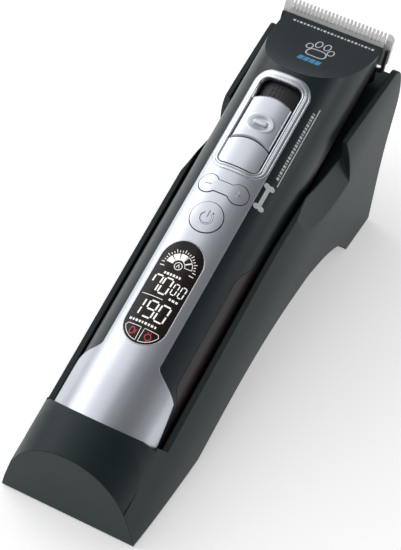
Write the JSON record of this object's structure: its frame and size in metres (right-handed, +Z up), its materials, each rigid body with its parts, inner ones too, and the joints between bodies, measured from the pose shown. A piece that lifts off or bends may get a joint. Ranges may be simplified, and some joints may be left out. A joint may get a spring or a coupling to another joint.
{
  "type": "cordless pet clipper in a charging dock",
  "caption": "Cordless pet clipper with a comb and cutter head, silver face plate with slider, rocker and display, lying head-up in a wedge-shaped charging dock.",
  "frame": {"origin": "on the table surface, at the middle of the whole object seen from above", "axes": "+Z up from the table, +X along the dock toward the cutting head, +Y to the clipper's left seen from behind its tail"},
  "size_m": [0.2049, 0.0568, 0.09],
  "materials": {
    "base_plastic": "matte",
    "black_plastic": "satin",
    "blade_steel": "ground",
    "board": "satin",
    "brass": "polished",
    "bright_trim": "polished",
    "cell_wrap": "wrapped",
    "ceramic": "white ceramic",
    "display": "dark",
    "dock_plastic": "satin",
    "grey_lacquer": "satin metallic lacquer",
    "lower_plastic": "satin",
    "rubber": "matte",
    "silver_plate": "satin",
    "steel": "brushed",
    "white_plastic": "satin",
    "window": "smoked, glossy"
  },
  "bodies": {
    "dock": {"dock_shell": "dock_plastic", "dock_base_plate": "base_plastic", "rubber_feet": "rubber", "base_screws": "steel", "contact_holder": "white_plastic", "dock_board": "board", "dc_inlet": "black_plastic"},
    "charging_pins": {"contact_pins": "brass"},
    "clipper": {"upper_housing": "grey_lacquer", "lower_housing": "lower_plastic", "face_plate": "silver_plate", "slider_bezel": "bright_trim", "slider_well": "black_plastic", "trim_panel": "silver_plate", "display_window": "window", "display_module": "display", "main_board": "board", "switches": "black_plastic", "battery_cells": "cell_wrap", "battery_tabs": "steel", "battery_tray": "black_plastic", "motor": "steel", "motor_mount": "steel", "motor_screws": "steel", "blade_bracket": "steel", "hinge_pin": "steel", "housing_screws": "steel", "charge_contacts": "brass"},
    "height_slider": {"blade_slider": "silver_plate", "adjust_bar": "white_plastic"},
    "rocker": {"speed_rocker": "silver_plate"},
    "button": {"power_button": "silver_plate"},
    "crank": {"motor_shaft": "steel", "drive_crank": "white_plastic"},
    "blade_unit": {"blade_base": "black_plastic", "fixed_blade": "blade_steel", "blade_screws": "steel"},
    "height_guide": {"blade_guide": "black_plastic", "tension_spring": "steel"},
    "cutter": {"moving_blade": "ceramic", "drive_fork": "black_plastic"}
  },
  "joints": [
    {"name": "clipper_lift", "type": "slide", "parent": "dock", "child": "clipper", "axis": [0.9397, 0, 0.342], "range_m": [0, 0.21]},
    {"name": "pin_press", "type": "slide", "parent": "dock", "child": "charging_pins", "axis": [-0.9397, 0, -0.342], "range_m": [0, 0.0008], "stiffness_N_per_m": 400},
    {"name": "slider_slide", "type": "slide", "parent": "clipper", "child": "height_slider", "axis": [0.9397, 0, 0.342], "range_m": [0, 0.006]},
    {"name": "rocker_tilt", "type": "hinge", "parent": "clipper", "child": "rocker", "pos_m": [0.00849, 0, 0.06802], "axis": [0.9397, 0, 0.342], "range_deg": [-2.5, 2.5], "stiffness_Nm_per_rad": 0.05},
    {"name": "power_press", "type": "slide", "parent": "clipper", "child": "button", "axis": [0.342, 0, -0.9397], "range_m": [0, 0.0008], "stiffness_N_per_m": 400},
    {"name": "crank_spin", "type": "hinge", "parent": "clipper", "child": "crank", "pos_m": [0.07088, 0, 0.06881], "axis": [0.9397, 0, 0.342], "continuous": true},
    {"name": "blade_hinge", "type": "hinge", "parent": "clipper", "child": "blade_unit", "pos_m": [0.08879, 0, 0.06638], "axis": [0, 1, 0], "range_deg": [0, 15]},
    {"name": "guide_slide", "type": "slide", "parent": "blade_unit", "child": "height_guide", "axis": [-0.4067, 0, -0.9135], "range_m": [0, 0.0012]},
    {"name": "blade_stroke", "type": "slide", "parent": "height_guide", "child": "cutter", "axis": [0, 1, 0], "range_m": [-0.0011, 0.0011]}
  ],
  "couplings": [
    {"joint": "guide_slide", "follows": "slider_slide", "ratio": 0.2}
  ]
}
